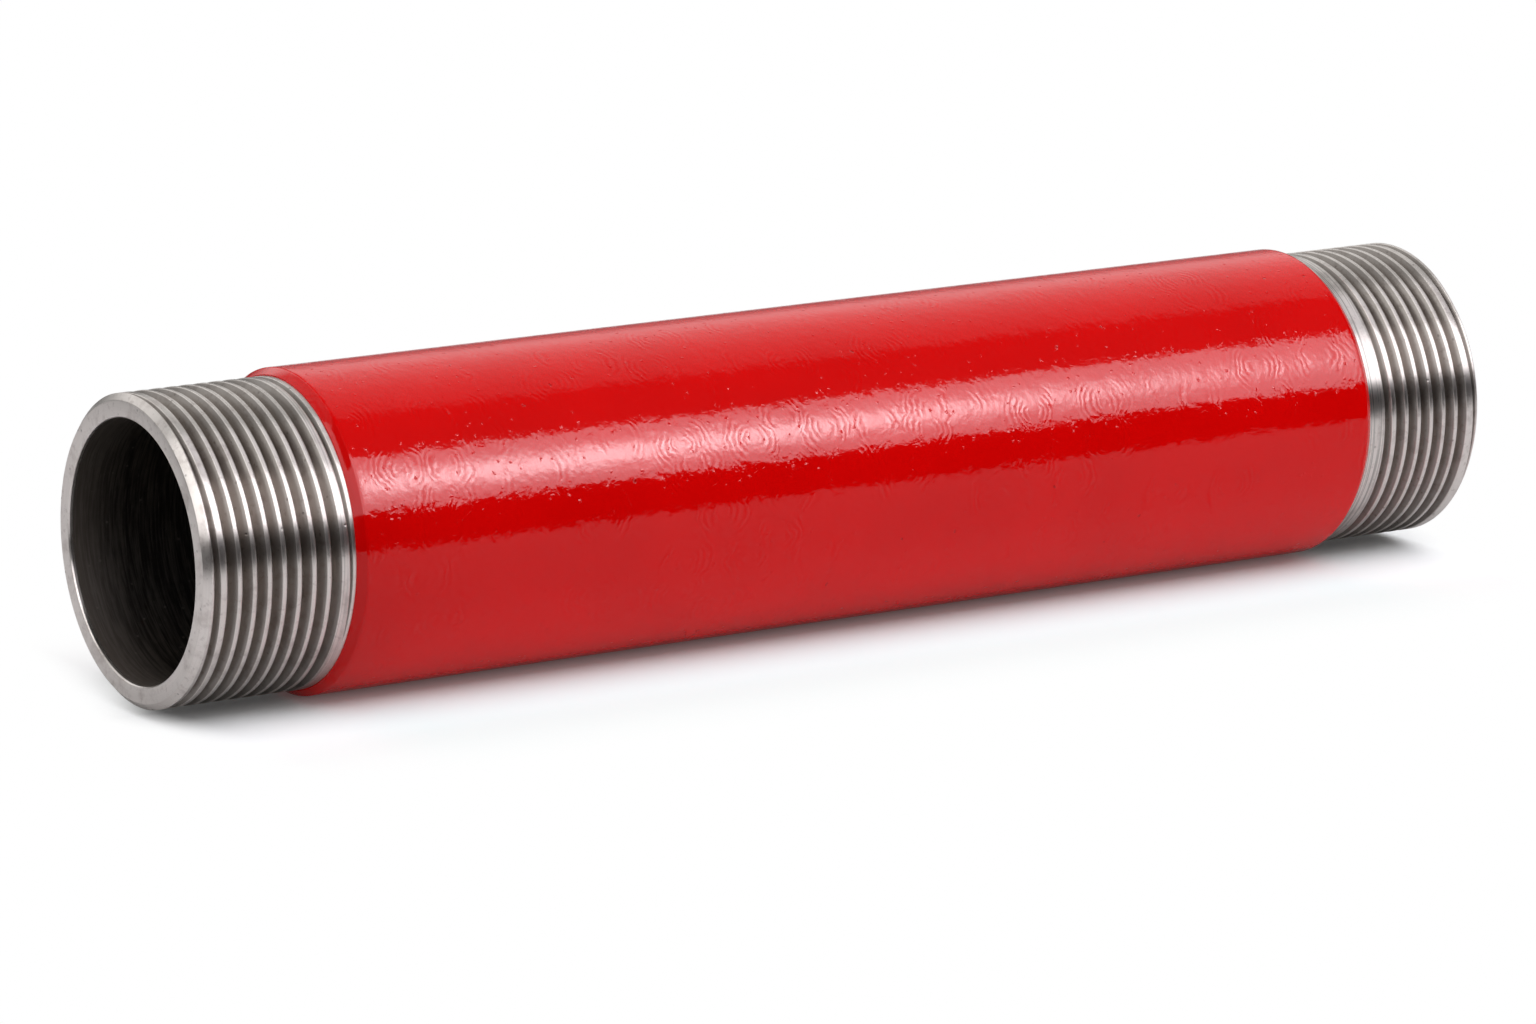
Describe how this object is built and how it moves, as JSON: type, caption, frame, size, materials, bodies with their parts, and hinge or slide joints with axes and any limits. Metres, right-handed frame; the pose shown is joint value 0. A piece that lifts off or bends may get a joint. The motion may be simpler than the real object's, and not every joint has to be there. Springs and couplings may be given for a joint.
{
  "type": "threaded steel pipe",
  "caption": "Short steel pipe with a male thread at each end and a thick red coat between the threads, for joining two female fittings.",
  "frame": {"origin": "middle of the pipe's bottom face, on the bore's axis", "axes": "+Z along the bore from the end with the shorter bare length to the end with the longer one, which is the end that the picture shows open; -X is the side that faces the camera and -Y is the side that is up in the picture"},
  "size_m": [0.0443, 0.0442, 0.208],
  "materials": {
    "bare_steel": "turned bare steel, satin, with fine marks round the axis",
    "red_coat": "glossy red coat with a slight orange-peel surface"
  },
  "bodies": {
    "root": {"steel_pipe": "bare_steel", "red_coating": "red_coat"}
  },
  "joints": []
}
